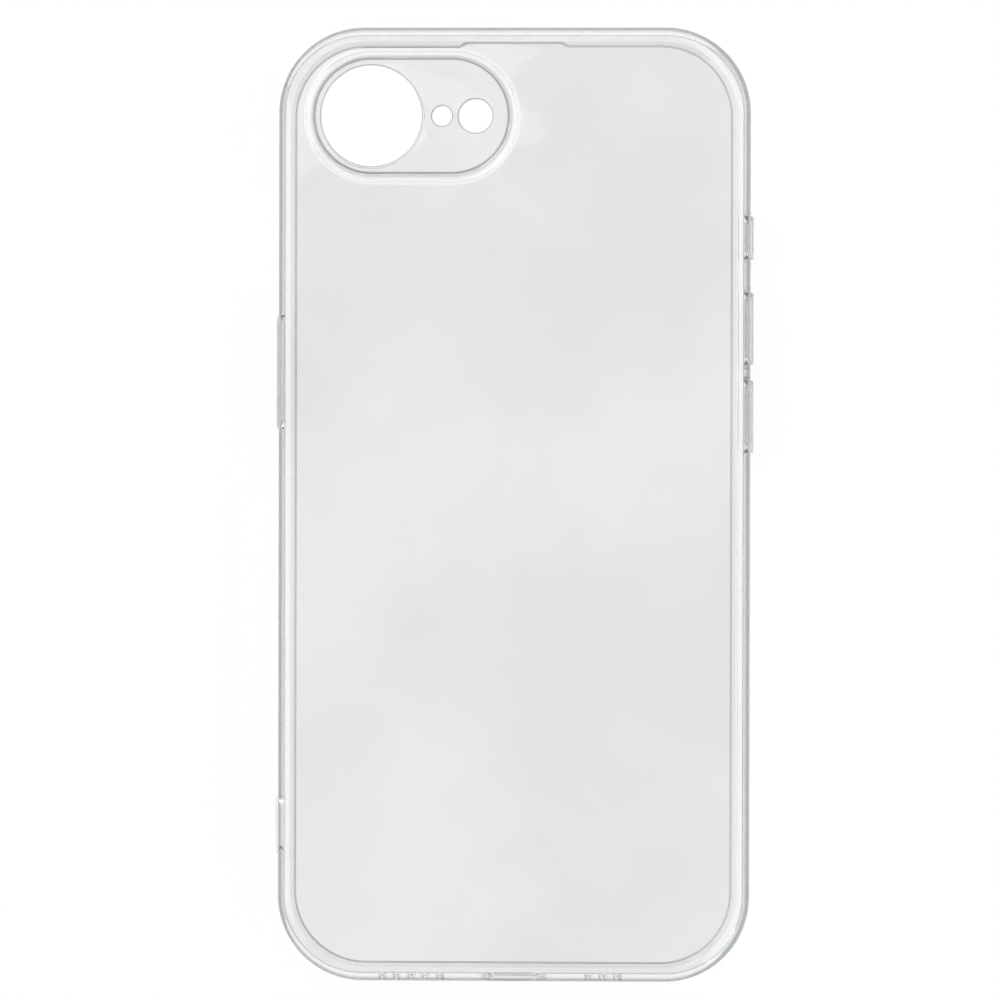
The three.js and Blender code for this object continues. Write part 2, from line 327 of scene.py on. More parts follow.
def new_object(name: str, mesh: bpy.types.Mesh) -> bpy.types.Object:
    """An object at the origin that shows a mesh.

    Args:
        name: the object's name.
        mesh: what it shows.

    Returns:
        The object, linked to the scene.
    """
    piece = bpy.data.objects.new(name, mesh)
    bpy.context.scene.collection.objects.link(piece)
    return piece


def combine(piece: bpy.types.Object, tools: list[bpy.types.Mesh], operation: str) -> None:
    """Joins a piece with tool meshes, or cuts it by them, and keeps the result as its mesh.

    Args:
        piece: the object that is changed.
        tools: the closed meshes that it is joined with or cut by.
        operation: the Boolean modifier's operation, UNION or DIFFERENCE.
    """
    for tool_mesh in tools:
        tool = new_object("tool", tool_mesh)
        change = piece.modifiers.new("change", "BOOLEAN")
        change.operation = operation
        change.solver = "EXACT"
        change.object = tool
        graph = bpy.context.evaluated_depsgraph_get()
        result = bpy.data.meshes.new_from_object(piece.evaluated_get(graph), depsgraph=graph)
        piece.modifiers.clear()
        old = piece.data
        piece.data = result
        bpy.data.objects.remove(tool)
        bpy.data.meshes.remove(tool_mesh)
        bpy.data.meshes.remove(old)


def smooth(piece: bpy.types.Object, sharp_degrees: float = 38.0) -> None:
    """Shades a piece smoothly, and keeps the edges that turn by more than an angle.

    Args:
        piece: the object that is shaded.
        sharp_degrees: the least turn of an edge that stays sharp.
    """
    mesh = piece.data
    mesh.polygons.foreach_set("use_smooth", np.ones(len(mesh.polygons), bool))
    mesh.set_sharp_from_angle(angle=math.radians(sharp_degrees))
    mesh.update()


# ---- Finishes ----


def group_socket(
    tree: bpy.types.ShaderNodeTree, name: str, kind: str, into: bool, default: float | None = None
) -> None:
    """Adds a named socket to a node group.

    Args:
        tree: the node group.
        name: the socket's name.
        kind: the socket's type.
        into: whether it is an input.
        default: an input's first value.
    """
    socket = tree.interface.new_socket(name, in_out="INPUT" if into else "OUTPUT", socket_type=kind)
    if default is not None:
        socket.default_value = default


def colour_mix(
    tree: bpy.types.ShaderNodeTree,
    factor: bpy.types.NodeSocket,
    low: tuple[float, float, float] | bpy.types.NodeSocket,
    high: tuple[float, float, float] | bpy.types.NodeSocket,
) -> bpy.types.NodeSocket:
    """Adds a mix of two colours.

    Args:
        tree: the node tree that it goes into.
        factor: how much of the second colour shows.
        low: the first colour, or the socket that gives it.
        high: the second colour, or the socket that gives it.

    Returns:
        The mixed colour's socket.
    """
    mix = tree.nodes.new("ShaderNodeMix")
    mix.data_type = "RGBA"
    tree.links.new(factor, mix.inputs["Factor"])
    for name, colour in (("A", low), ("B", high)):
        if isinstance(colour, tuple):
            mix.inputs[name].default_value = (*colour, 1.0)
        else:
            tree.links.new(colour, mix.inputs[name])
    return mix.outputs["Result"]


def math_node(
    tree: bpy.types.ShaderNodeTree,
    operation: str,
    first: bpy.types.NodeSocket,
    second: bpy.types.NodeSocket | float,
    clamp: bool = False,
) -> bpy.types.NodeSocket:
    """Adds one step of arithmetic on two values.

    Args:
        tree: the node tree that it goes into.
        operation: what is done with them.
        first: the first value's socket.
        second: the second value, or the socket that gives it.
        clamp: whether the result is kept between 0 and 1.

    Returns:
        The result's socket.
    """
    node = tree.nodes.new("ShaderNodeMath")
    node.operation = operation
    node.use_clamp = clamp
    tree.links.new(first, node.inputs[0])
    if isinstance(second, float):
        node.inputs[1].default_value = second
    else:
        tree.links.new(second, node.inputs[1])
    return node.outputs["Value"]


def face_mark(tree: bpy.types.ShaderNodeTree, name: str) -> bpy.types.NodeSocket:
    """Adds a reader of one of the mesh's own face attributes.

    Args:
        tree: the node tree that it goes into.
        name: the attribute's name.

    Returns:
        The attribute's socket, as a number.
    """
    reader = tree.nodes.new("ShaderNodeAttribute")
    reader.attribute_name = name
    return reader.outputs["Fac"]


@cache
def wear_group() -> bpy.types.ShaderNodeTree:
    """The handling wear that all the clear mouldings share, built once.

    Cloud is a slow noise for haze and smears. The scratches are two stretched noises, cut to thin
    threads. Height is what the scratches and the mould's own ripple do to the surface.

    Returns:
        The node group, with Cloud, Roughness and Height outputs.
    """
    tree = bpy.data.node_groups.new("handling_wear", "ShaderNodeTree")
    for label, default in (
        ("Cloud Size", 30.0),
        ("Roughness", 0.05),
        ("Smear", 0.05),
        ("Scratch", 0.1),
        ("Ripple", 0.2),
    ):
        group_socket(tree, label, "NodeSocketFloat", True, default)
    group_socket(tree, "Vector", "NodeSocketVector", True)
    for label in ("Cloud", "Roughness", "Height"):
        group_socket(tree, label, "NodeSocketFloat", False)
    nodes, links = tree.nodes, tree.links
    source = nodes.new("NodeGroupInput")
    sink = nodes.new("NodeGroupOutput")

    def noise(scale: float | None, detail: float, rough: float) -> bpy.types.ShaderNode:
        """Adds a noise.

        Args:
            scale: how many of its cells fit in a metre, or None where a link gives it.
            detail: how many finer noises it adds.
            rough: how strong they are.

        Returns:
            The noise's node.
        """
        node = nodes.new("ShaderNodeTexNoise")
        node.inputs["Detail"].default_value = detail
        node.inputs["Roughness"].default_value = rough
        if scale is not None:
            node.inputs["Scale"].default_value = scale
        return node

    def remap(value: bpy.types.NodeSocket, low: float, high: float) -> bpy.types.NodeSocket:
        """Adds a smooth step from 0 to 1.

        Args:
            value: the socket that is stepped.
            low: the value that gives 0.
            high: the value that gives 1.

        Returns:
            The result's socket.
        """
        node = nodes.new("ShaderNodeMapRange")
        node.interpolation_type = "SMOOTHSTEP"
        node.inputs["From Min"].default_value = low
        node.inputs["From Max"].default_value = high
        links.new(value, node.inputs["Value"])
        return node.outputs["Result"]

    cloud = noise(None, 3.0, 0.55)
    links.new(source.outputs["Vector"], cloud.inputs["Vector"])
    links.new(source.outputs["Cloud Size"], cloud.inputs["Scale"])
    clouds = remap(cloud.outputs["Fac"], *CLOUD_RANGE)
    threads = []
    for turn, stretch in THREADS:
        mapping = nodes.new("ShaderNodeMapping")
        mapping.inputs["Rotation"].default_value = (0.0, 0.0, turn)
        mapping.inputs["Scale"].default_value = stretch
        links.new(source.outputs["Vector"], mapping.inputs["Vector"])
        fibre = noise(1.0, 2.0, 0.6)
        links.new(mapping.outputs["Vector"], fibre.inputs["Vector"])
        threads.append(remap(fibre.outputs["Fac"], *THREAD_RANGE))
    scratches = math_node(tree, "MAXIMUM", *threads)
    ripple = noise(RIPPLE_SIZE, 1.0, 0.5)
    links.new(source.outputs["Vector"], ripple.inputs["Vector"])
    smear = math_node(tree, "MULTIPLY", clouds, source.outputs["Smear"])
    worn = math_node(tree, "MULTIPLY", scratches, source.outputs["Scratch"])
    marks = math_node(tree, "ADD", smear, worn)
    rough = math_node(tree, "ADD", marks, source.outputs["Roughness"], clamp=True)
    rise = math_node(tree, "MULTIPLY", ripple.outputs["Fac"], source.outputs["Ripple"])
    height = math_node(tree, "SUBTRACT", rise, worn)
    links.new(clouds, sink.inputs["Cloud"])
    links.new(rough, sink.inputs["Roughness"])
    links.new(height, sink.inputs["Height"])
    return tree


@dataclass(frozen=True)
class ClearFinish:
    """A clear moulded plastic: its tints where it is clean and smeared, its gloss and its wear.

    The moulded edges carry painted shade: a much darker tint that stands in for the dark lines
    that refraction of dim surroundings shows there. They are told by the mesh's own "edge"
    attribute, so the painted shade stays where it is from every side. The faces inside a joint
    have no tint, so two pieces that overlap look like one moulding. The collar round the guard
    has no tint either, as painted light: it renders as a brighter halo.
    """

    name: str
    clean: tuple[float, float, float]
    smeared: tuple[float, float, float]
    # The edge colour is painted shade: a dark tint on the moulded edges in place of refraction lines.
    edge: tuple[float, float, float]
    shade: tuple[float, float, float]
    index: float
    roughness: float
    deep: tuple[float, float, float] = (0.915, 0.925, 0.915)
    smear: float = 0.04
    scratch: float = 0.08
    ripple: float = 0.2
    cloud_size: float = 30.0
    bump: float = 0.1
    relief: float = 0.0001

    @cache
    def material(self) -> bpy.types.Material:
        """The finish as a material, made the first time that it is asked for.

        Returns:
            A Principled surface with full transmission, and a plain tinted pass for the rays that
            light what is behind it, from the lamps and from the floor. A ray that has turned many
            times inside a moulding passes out too, with the deeper tint of its long way.
        """
        material = bpy.data.materials.new(f"{self.name}_finish")
        material.use_nodes = True
        tree = material.node_tree
        nodes, links = tree.nodes, tree.links
        nodes.clear()
        output = nodes.new("ShaderNodeOutputMaterial")
        shader = nodes.new("ShaderNodeBsdfPrincipled")
        shader.inputs["Transmission Weight"].default_value = 1.0
        shader.inputs["IOR"].default_value = self.index
        place = nodes.new("ShaderNodeTexCoord")
        wear = nodes.new("ShaderNodeGroup")
        wear.node_tree = wear_group()
        for label, value in (
            ("Cloud Size", self.cloud_size),
            ("Roughness", self.roughness),
            ("Smear", self.smear),
            ("Scratch", self.scratch),
            ("Ripple", self.ripple),
        ):
            wear.inputs[label].default_value = value
        links.new(place.outputs["Object"], wear.inputs["Vector"])
        tint = colour_mix(tree, wear.outputs["Cloud"], self.clean, self.smeared)
        # Painted shade: the edge attribute mixes in the much darker edge colour on moulded edges.
        rim = colour_mix(tree, face_mark(tree, "edge"), tint, self.edge)
        # The joint faces lose their tint, and the collar round the guard loses it as a painted brighter
        # halo.
        joint = colour_mix(tree, face_mark(tree, "untinted_joint_and_painted_halo"), rim, (1.0, 1.0, 1.0))
        links.new(joint, shader.inputs["Base Color"])
        links.new(wear.outputs["Roughness"], shader.inputs["Roughness"])
        bump = nodes.new("ShaderNodeBump")
        bump.inputs["Strength"].default_value = self.bump
        bump.inputs["Distance"].default_value = self.relief
        links.new(wear.outputs["Height"], bump.inputs["Height"])
        links.new(bump.outputs["Normal"], shader.inputs["Normal"])
        path = nodes.new("ShaderNodeLightPath")
        lighting = math_node(tree, "MAXIMUM", path.outputs["Is Shadow Ray"], path.outputs["Is Diffuse Ray"])
        trapped = math_node(tree, "GREATER_THAN", path.outputs["Glossy Depth"], MOST_TURNS)
        passing = math_node(tree, "MAXIMUM", lighting, trapped)
        through = nodes.new("ShaderNodeBsdfTransparent")
        links.new(colour_mix(tree, trapped, self.shade, self.deep), through.inputs["Color"])
        mix = nodes.new("ShaderNodeMixShader")
        links.new(passing, mix.inputs["Fac"])
        links.new(shader.outputs["BSDF"], mix.inputs[1])
        links.new(through.outputs["BSDF"], mix.inputs[2])
        links.new(mix.outputs["Shader"], output.inputs["Surface"])
        return material


# Each finish's edge colour is the painted shade on its moulded edges.
SOFT_CLEAR = ClearFinish(
    name="soft_clear",
    clean=(0.915, 0.92, 0.915),
    smeared=(0.88, 0.885, 0.88),
    edge=(0.235, 0.25, 0.235),
    shade=(0.995, 0.995, 0.995),
    index=1.5,
    roughness=0.012,
    smear=0.02,
    scratch=0.02,
    ripple=0.05,
)
HARD_CLEAR = ClearFinish(
    name="hard_clear",
    clean=(0.87, 0.87, 0.87),
    smeared=(0.805, 0.805, 0.805),
    edge=(0.095, 0.105, 0.095),
    shade=(0.995, 0.995, 0.995),
    index=1.58,
    roughness=0.01,
    smear=0.02,
    cloud_size=22.0,
)
GUARD_CLEAR = replace(
    HARD_CLEAR,
    name="guard_clear",
    clean=(0.87, 0.87, 0.87),
    smeared=(0.83, 0.83, 0.83),
    edge=(0.20, 0.215, 0.20),
    index=1.52,
    cloud_size=60.0,
)
COVER_CLEAR = replace(
    SOFT_CLEAR, name="cover_clear", edge=(0.66, 0.68, 0.66), roughness=0.03, cloud_size=120.0
)


def smoothstep(low: float, high: float, value: np.ndarray) -> np.ndarray:
    """Three t squared less two t cubed, where t is how far the value is from low to high."""
    t = np.clip((value - low) / (high - low), 0.0, 1.0)
    return t * t * (3 - 2 * t)


def mark_painted_shade_and_halo(mesh: bpy.types.Mesh, lowest: float, collar: tuple[float, float]) -> None:
    """Stores on each face how much it belongs to a moulded edge, from 0 to 1, as "edge".

    A face's curvature is the angle to its neighbour over its own width, and its width is its area
    over the shared edge's length. Tight curvature counts in full. A gentler shoulder counts where
    it has turned most of the way to upright. Sharp corners don't count, as they have no width. Flat
    walls below the shoulder count a little. The stored value is painted shade, which darkens the
    tint where refraction shows dark lines on a clear moulding. The level faces inside a joint,
    which lose their tint, and the collar round the guard, which loses it as a painted brighter
    halo, are stored as a second attribute, as 0 or 1.

    Args:
        mesh: a closed mesh in metres.
        lowest: the height in millimetres above which a tight edge counts. A shoulder counts from
            a little lower.
        collar: the heights in millimetres between which a face belongs to the guard's collar, which is
        left untinted as a painted brighter halo and takes no painted shade.
    """
    loops, edges, faces = len(mesh.loops), len(mesh.edges), len(mesh.polygons)
    loop_edge = np.empty(loops, np.int32)
    mesh.loops.foreach_get("edge_index", loop_edge)
    sides = np.empty(faces, np.int32)
    mesh.polygons.foreach_get("loop_total", sides)
    normals = np.empty(faces * 3)
    mesh.polygons.foreach_get("normal", normals)
    normals = normals.reshape(-1, 3)
    areas = np.empty(faces)
    mesh.polygons.foreach_get("area", areas)
    ends = np.empty(edges * 2, np.int32)
    mesh.edges.foreach_get("vertices", ends)
    points = np.empty(len(mesh.vertices) * 3)
    mesh.vertices.foreach_get("co", points)
    span = points.reshape(-1, 3)[ends.reshape(-1, 2)]
    length = np.maximum(np.linalg.norm(span[:, 0] - span[:, 1], axis=1), 1e-9)
    loop_face = np.repeat(np.arange(faces), sides)
    order = np.argsort(loop_edge, kind="stable")
    shared = np.bincount(loop_edge, minlength=edges) == 2
    kept = order[shared[loop_edge[order]]].reshape(-1, 2)
    pair, edge = loop_face[kept], loop_edge[kept[:, 0]]
    angle = np.arccos(np.clip((normals[pair[:, 0]] * normals[pair[:, 1]]).sum(1), -1.0, 1.0))
    angle[angle > MOST_STEP] = 0.0
    curvature = np.zeros(faces)
    for side in (0, 1):
        width = np.maximum(areas[pair[:, side]] / length[edge], 1e-6) / MM
        np.maximum.at(curvature, pair[:, side], angle / width)
    upright = np.hypot(normals[:, 0], normals[:, 1])
    # Painted shade on a gentler shoulder that has turned most of the way to upright.
    shoulder = smoothstep(*SHOULDER, upright) * (curvature > LEAST_CURVATURE)
    centres = np.empty(faces * 3)
    mesh.polygons.foreach_get("center", centres)
    height = centres.reshape(-1, 3)[:, 2] / MM
    # Painted shade on tightly curved faces above the lowest height.
    tight = smoothstep(*TIGHT, curvature) * (height > lowest)
    # The collar round the guard, left untinted as a painted brighter halo.
    thin = (height > collar[0]) & (height < collar[1])
    foot = lowest - SHOULDER_DEPTH
    # The painted shade, stored as "edge"; the collar round the guard takes none.
    value = np.maximum(tight, shoulder * (height > foot)) * ~thin
    value = np.maximum(value, WALL_PAINTED_SHADE * (upright > UPRIGHT) * (height < foot))
    mesh.attributes.new("edge", "FLOAT", "FACE").data.foreach_set("value", value.astype(np.float32))
    # Level faces inside a joint lose their tint; the collar loses it as a painted brighter halo.
    level = np.abs(normals[:, 2]) > LEVEL
    mating = level & (height > MATING[0]) & (height < MATING[1])
    untinted_joint_and_painted_halo = (mating | thin).astype(np.float32)
    mesh.attributes.new("untinted_joint_and_painted_halo", "FLOAT", "FACE").data.foreach_set("value", untinted_joint_and_painted_halo)


def dress(
    piece: bpy.types.Object,
    finish: ClearFinish,
    lowest: float = 0.0,
    collar: tuple[float, float] = (math.inf, math.inf),
) -> None:
    """Gives a piece its finish, with its edges and its untinted faces marked.

    Args:
        piece: the object that is dressed.
        finish: what it is moulded in.
        lowest: the height in millimetres above which a tight edge counts.
        collar: the heights in millimetres between which a face belongs to the guard's collar, which is
        left untinted as a painted brighter halo and takes no painted shade.
    """
    # Marks the painted shade on the moulded edges, and the untinted faces.
    mark_painted_shade_and_halo(piece.data, lowest, collar)
    piece.data.materials.clear()
    piece.data.materials.append(finish.material())


def report(piece: bpy.types.Object) -> None:
    """Logs a finished piece's name, faces and size."""
    size = [round(extent / MM, 2) for extent in piece.dimensions]
    log.info("%s: %d faces, %s mm", piece.name, len(piece.data.polygons), size)


# ---- Sizes that several pieces share ----


@dataclass(frozen=True)
class CaseSizes:
    """The case's own heights and outlines, in millimetres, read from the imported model."""

    half_width: float
    half_length: float
    back: float
    guard_top: float
    guard_centre: tuple[float, float]
    corner: float = 13.375
    lip: float = 1.0
    inner_face: float = 8.9
    pocket_corner: float = 12.0
    side_wall: float = 1.25
    end_wall: float = 1.5
    seam: float = 0.08
    tongue_reach: float = 0.9
    tongue_top: float = 9.55
    plate_side_inset: float = 2.95
    plate_end_inset: float = 3.15
    plate_corner: float = 11.1
    tab_half: float = 7.4
    tab_depth: float = 0.55
    guard_length: float = 30.9
    guard_width: float = 18.3

    @classmethod
    def from_frame(cls) -> "CaseSizes":
        """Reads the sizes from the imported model's boxes.

        Returns:
            The sizes, with the moulding's own values where a box doesn't tell them.
        """
        low, high = (np.array(corner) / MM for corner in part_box("bumper_frame"))
        guard_low, guard_high = (np.array(corner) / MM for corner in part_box("camera_guard"))
        middle = (guard_low + guard_high) / 2
        return cls(
            half_width=float(high[0]),
            half_length=float(high[1]),
            back=float(high[2]),
            guard_top=float(guard_high[2]),
            guard_centre=(float(middle[0]), float(middle[1])),
        )

    @property
    def middle(self) -> float:
        """Half the pocket's height, where the buttons and the port are."""
        return (self.lip + self.inner_face) / 2

    def outer(self) -> RoundedRectangle:
        """The case's outline."""
        return RoundedRectangle(self.half_width, self.half_length, self.corner)

    def pocket(self) -> RoundedRectangle:
        """The pocket's outline."""
        return RoundedRectangle(
            self.half_width - self.side_wall, self.half_length - self.end_wall, self.pocket_corner
        )

    def plate(self) -> RoundedRectangle:
        """The back plate's outline with its tab."""
        return RoundedRectangle(
            self.half_width - self.plate_side_inset,
            self.half_length - self.plate_end_inset,
            self.plate_corner,
            self.tab_half,
            self.tab_depth,
        )

    def tongue(self) -> RoundedRectangle:
        """The outline of the back plate's tongue, which is the plate's without the tab, grown.

        Returns:
            The outline.
        """
        plain = replace(self.plate(), tab_half=0.0, tab_depth=0.0)
        return RoundedRectangle(
            plain.half_width + self.tongue_reach,
            plain.half_length + self.tongue_reach,
            plain.radius + self.tongue_reach,
        )

    def guard(self) -> Stadium:
        """The camera guard's pill."""
        return Stadium(self.guard_length, self.guard_width, self.guard_centre, end_steps=72, side_steps=24)


# ---- The soft frame ----


@dataclass(frozen=True)
class ButtonPlace:
    """A button cover: its body's name and the wall that it is on."""

    name: str
    wall: Wall

    def pad(self) -> tuple[float, float]:
        """The middle and the length of the pad along its wall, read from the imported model."""
        low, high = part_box(f"{self.name}_cover")
        return (low.y + high.y) / 2 / MM, (high.y - low.y) / MM


BUTTONS = (
    ButtonPlace("action_button", Wall.RIGHT),
    ButtonPlace("volume_up", Wall.RIGHT),
    ButtonPlace("volume_down", Wall.RIGHT),
    ButtonPlace("side_button", Wall.LEFT),
)


@dataclass(frozen=True)
class SoftFrame:
    """The soft frame: wall, front lip and back flange in one ring, with its openings."""

    sizes: CaseSizes
    back_radius: float = 2.6
    front_radius: float = 1.2
    lip_overhang: float = 1.1
    edge: float = 0.1
    inner_radius: float = 0.3
    foot_radius: float = 0.25
    window_height: float = 4.8
    window_flare: float = 0.2
    moat: float = 0.7
    port_width: float = 9.4
    port_height: float = 5.2
    mouth_margin: float = 0.55
    mouth_depth: float = 0.85
    port_flare: float = 0.25
    sound_diameter: float = 1.4
    sound_pitch: float = 2.26
    sound_rows: tuple[tuple[int, float], ...] = ((5, -16.1), (3, 14.1))
    sound_flare: float = 0.15
    boss_length: float = 9.4
    boss_height: float = 3.6
    boss_proud: float = 0.45
    boss_station: float = -50.6
    boss_edge: float = 0.3
    past: float = 0.6

    def section(self) -> list[Station]:
        """The ring's section, up the outer wall, over the back, down the inside and along the lip.

        Returns:
            The section's stations.
        """
        s = self.sizes
        outer, pocket, plate, tongue = s.outer(), s.pocket(), s.plate(), s.tongue()
        lip = RoundedRectangle(
            pocket.half_width - self.lip_overhang,
            pocket.half_length - self.lip_overhang,
            pocket.radius - self.lip_overhang,
        )
        ledge = s.tongue_top + s.seam
        inner, front, back = self.inner_radius, self.front_radius, self.back_radius
        return [
            *quarter(outer, -front, front, front, Edge.BOTTOM_OUT, 8),
            *quarter(outer, -back, s.back - back, back, Edge.OUT_TOP, 14),
            *quarter(plate, s.seam + self.edge, s.back - self.edge, self.edge, Edge.TOP_IN),
            (plate, s.seam, ledge),
            (tongue, s.seam, ledge),
            (tongue, s.seam, s.inner_face),
            *quarter(pocket, -inner, s.inner_face - inner, inner, Edge.HOLLOW_TOP_OUT, 4),
            *quarter(pocket, -inner, s.lip + inner, inner, Edge.HOLLOW_OUT_BOTTOM, 4),
            *quarter(lip, inner, s.lip - inner, inner, Edge.TOP_IN),
            *quarter(lip, self.foot_radius, self.foot_radius, self.foot_radius, Edge.IN_BOTTOM),
        ]

    def tunnel(self, outline: Stadium, place: Matrix, depth: float, flare: float) -> bpy.types.Mesh:
        """A tool that cuts an opening through a wall, with its edges rounded at both faces.

        The outline grows by a quarter circle towards each face, and runs on past it.

        Args:
            outline: the opening's outline, in the wall's own frame.
            place: where the wall's frame is.
            depth: how thick the wall is.
            flare: the radius of the rounded edges.

        Returns:
            The tool's mesh.
        """
        stations = [
            (outline, flare, -depth - self.past),
            *quarter(outline, flare, -depth + flare, flare, Edge.HOLLOW_BOTTOM_IN, 4),
            *quarter(outline, flare, -flare, flare, Edge.HOLLOW_IN_TOP, 4),
            (outline, flare, self.past),
        ]
        return surface_mesh("tool", station_rings(stations), False, place)

    def tools(self) -> list[bpy.types.Mesh]:
        """The tools that cut the button windows, the port and the sound holes.

        Returns:
            The tools' meshes.
        """
        s = self.sizes
        found = []
        for button in BUTTONS:
            station, length = button.pad()
            place = wall_matrix(button.wall, station, s.middle, s.half_width)
            window = Stadium(length + 2 * self.moat, self.window_height)
            found.append(self.tunnel(window, place, s.side_wall, self.window_flare))
        place = wall_matrix(Wall.BOTTOM, 0.0, s.middle, s.half_length)
        port = Stadium(self.port_width, self.port_height)
        found.append(self.tunnel(port, place, s.end_wall, self.port_flare))
        margin = 2 * self.mouth_margin
        mouth = Stadium(self.port_width + margin, self.port_height + margin)
        bend = self.port_flare
        bowl = [
            *quarter(mouth, -bend, -self.mouth_depth + bend, bend, Edge.BOTTOM_OUT, 4),
            (mouth, 0.0, self.past),
        ]
        found.append(surface_mesh("tool", station_rings(bowl), False, place))
        for count, middle in self.sound_rows:
            for station in middle + (np.arange(count) - (count - 1) / 2) * self.sound_pitch:
                place = wall_matrix(Wall.BOTTOM, float(station), s.middle, s.half_length)
                hole = Stadium(self.sound_diameter, self.sound_diameter, end_steps=12, side_steps=1)
                found.append(self.tunnel(hole, place, s.end_wall, self.sound_flare))
        return found

    def boss(self) -> bpy.types.Mesh:
        """The low strap boss on the left wall, with a rounded edge.

        Returns:
            The boss's mesh, which reaches into the wall.
        """
        place = wall_matrix(Wall.LEFT, self.boss_station, self.sizes.middle, self.sizes.half_width)
        outline = Stadium(self.boss_length, self.boss_height)
        edge = self.boss_edge
        stations = [
            (outline, 0.0, -self.past),
            *quarter(outline, -edge, self.boss_proud - edge, edge, Edge.OUT_TOP),
        ]
        return surface_mesh("tool", station_rings(stations), False, place)

    def build(self) -> bpy.types.Object:
        """Builds the frame, cuts its openings and dresses it.

        Returns:
            The finished frame.
        """
        rings = station_rings(self.section())
        piece = new_object("soft_frame", surface_mesh("soft_frame", rings, True))
        combine(piece, [self.boss()], "UNION")
        combine(piece, self.tools(), "DIFFERENCE")
        smooth(piece)
        dress(piece, SOFT_CLEAR, self.sizes.back - 0.3)
        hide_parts("bumper_frame")
        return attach(piece, "case_shell")


# ---- The back plate ----


@dataclass(frozen=True)
class BackPlate:
    """The hard back plate, with its tongue, its tab and the sloped collar round the guard."""

    sizes: CaseSizes
    edge: float = 0.1
    collar_reach: float = 1.55
    collar_land: float = 0.4
    collar_rise: float = 0.55
    rebate_reach: float = 0.86
    rebate_top: float = 9.63

    def section(self) -> list[Station]:
        """The plate's section, up its outer edge, over the top and collar, and down the hole.

        The collar's slope is the mean of a straight one and an S-shaped one.

        Returns:
            The section's stations.
        """
        s = self.sizes
        plate, tongue, guard = s.plate(), s.tongue(), s.guard()
        centre = s.guard_centre
        rays = np.sort(
            np.concatenate([ray_angles(outline.points(0.0), centre) for outline in (plate, guard)])
        )
        rim, skirt, hole = (Polar(outline, centre, rays) for outline in (plate, tongue, guard))
        slope = [
            (hole, self.collar_reach + (self.collar_land - self.collar_reach) * t,
             s.back + self.collar_rise * t * (1 + 3 * t - 2 * t * t) / 2)
            for t in np.linspace(0.0, 1.0, 12)
        ]
        top = s.back + self.collar_rise
        return [
            (skirt, 0.0, s.inner_face),
            (skirt, 0.0, s.tongue_top),
            (rim, 0.0, s.tongue_top),
            *quarter(rim, -self.edge, s.back - self.edge, self.edge, Edge.OUT_TOP),
            *slope,
            *quarter(hole, s.seam + self.edge, top - self.edge, self.edge, Edge.TOP_IN),
            (hole, s.seam, self.rebate_top),
            (hole, self.rebate_reach, self.rebate_top),
            (hole, self.rebate_reach, s.inner_face),
        ]

    def build(self) -> bpy.types.Object:
        """Builds the plate and dresses it.

        Returns:
            The finished plate.
        """
        rings = station_rings(self.section())
        piece = new_object("hard_plate", surface_mesh("hard_plate", rings, True))
        smooth(piece)
        back = self.sizes.back
        # The collar's faces are left untinted, a painted brighter halo round the guard.
        collar = (back + 0.001, back + self.collar_rise - 0.01)
        dress(piece, HARD_CLEAR, back - 0.3, collar)
        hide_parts("back_plate")
        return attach(piece, "case_shell")


# ---- The camera guard ----


@dataclass(frozen=True)
class CameraGuard:
    """The raised pill round the camera, with its flange and three holes."""

    sizes: CaseSizes
    edge: float = 0.4
    flange_reach: float = 0.8
    lens_diameter: float = 15.85
    lens_relief: float = 0.3
    mic_diameter: float = 3.2
    mic_from_flash: float = 5.26
    flash_diameter: float = 5.35
    flash_from_end: float = 5.42
    lens_flare: float = 0.12
    hole_flare: float = 0.15
    past: float = 1.0

    def section(self) -> list[Station]:
        """The pill's section, from its lower face, round the flange and up to its top face.

        Returns:
            The section's stations.
        """
        s = self.sizes
        pill = s.guard()
        return [
            (pill, self.flange_reach, s.inner_face),
            (pill, self.flange_reach, s.tongue_top),
            (pill, 0.0, s.tongue_top),
            *quarter(pill, -self.edge, s.guard_top - self.edge, self.edge, Edge.OUT_TOP, 8),
        ]

    def bore(self, x: float, diameter: float, relief: float, flare: float) -> bpy.types.Mesh:
        """A tool for a round hole with a rounded mouth, stepped wider below the back's face.

        Args:
            x: the hole's middle along the pill, from the pill's middle.
            diameter: the hole's diameter at the top.
            relief: how much its radius grows below the back's face.
            flare: the radius of its rounded mouth.

        Returns:
            The tool's mesh.
        """
        s = self.sizes
        centre = (s.guard_centre[0] + x, s.guard_centre[1])
        ring = Stadium(diameter, diameter, centre, end_steps=max(24, int(diameter * 6)), side_steps=1)
        foot = s.inner_face
        stations = [
            (ring, relief + flare, foot - self.past),
            *quarter(ring, relief + flare, foot + flare, flare, Edge.HOLLOW_BOTTOM_IN, 4),
            (ring, relief, s.back),
            (ring, 0.0, s.back),
            *quarter(ring, flare, s.guard_top - flare, flare, Edge.HOLLOW_IN_TOP, 4),
            (ring, flare, s.guard_top + self.past),
        ]
        return surface_mesh("tool", station_rings(stations), False)

    def build(self) -> bpy.types.Object:
        """Builds the guard, cuts its holes and dresses it.

        Returns:
            The finished guard.
        """
        pill = self.sizes.guard()
        lens = (pill.width - pill.length) / 2
        flash = pill.length / 2 - self.flash_from_end
        rings = station_rings(self.section())
        piece = new_object("guard_pill", surface_mesh("guard_pill", rings, False))
        tools = [
            self.bore(lens, self.lens_diameter, self.lens_relief, self.lens_flare),
            self.bore(flash - self.mic_from_flash, self.mic_diameter, 0.0, self.hole_flare),
            self.bore(flash, self.flash_diameter, 0.0, self.hole_flare),
        ]
        combine(piece, tools, "DIFFERENCE")
        smooth(piece)
        dress(piece, GUARD_CLEAR, self.sizes.back)
        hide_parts("camera_guard")
        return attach(piece, "case_shell")


# ---- The button covers ----


